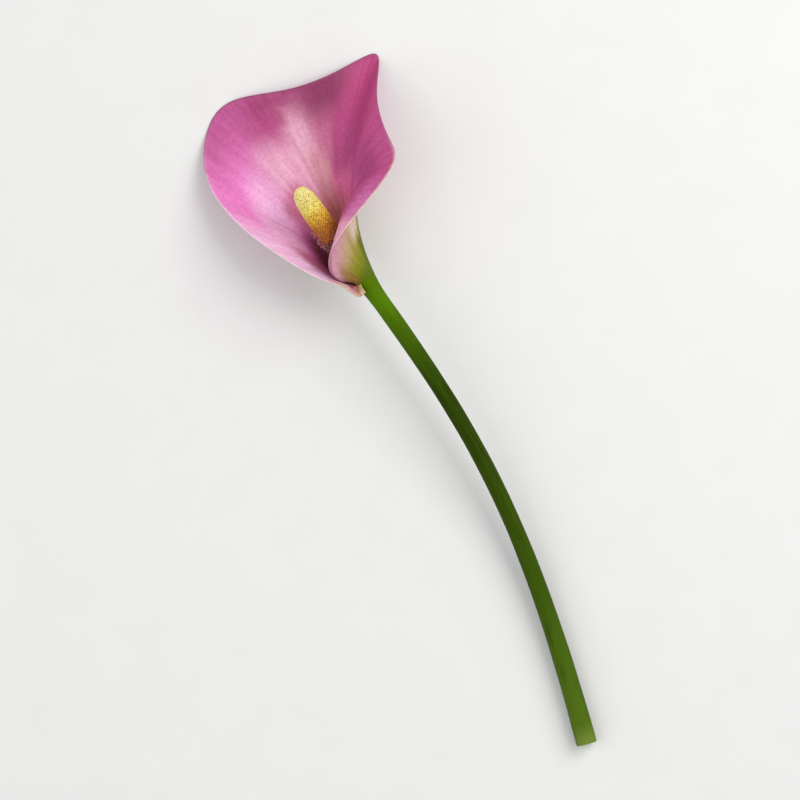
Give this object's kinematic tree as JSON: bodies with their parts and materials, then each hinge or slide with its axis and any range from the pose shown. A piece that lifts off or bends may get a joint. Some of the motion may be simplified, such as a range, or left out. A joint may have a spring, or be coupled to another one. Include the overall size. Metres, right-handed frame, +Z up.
{
  "type": "arum lily flower",
  "caption": "Picked arum lily flower lying down: a rolled spathe that opens into a wide hood, a finger-like spadix of packed florets in its throat, and a long round curved stem with a cut end.",
  "frame": {"origin": "under the middle of the whole flower's bounding box, on the surface that it lies on", "axes": "+Z up from the surface; +Y the long way, from the cut end of the stem to the tip of the spathe; +X across, to the right as the flower is seen from above"},
  "size_m": [0.1808, 0.3182, 0.0403],
  "materials": {
    "stem": "satin fresh green skin, pale at the cut end; stands in for a living stem",
    "spathe": "soft satin petal skin, pink to lilac with a pale green middle; stands in for living tissue",
    "pistils": "matt pale dusky pink beads; stands in for living florets",
    "stamens": "matt powdery yellow; stands in for living florets"
  },
  "bodies": {
    "root": {"stem": "stem", "spathe": "spathe", "spadix_pistils": "pistils", "spadix_stamens": "stamens"}
  },
  "joints": []
}
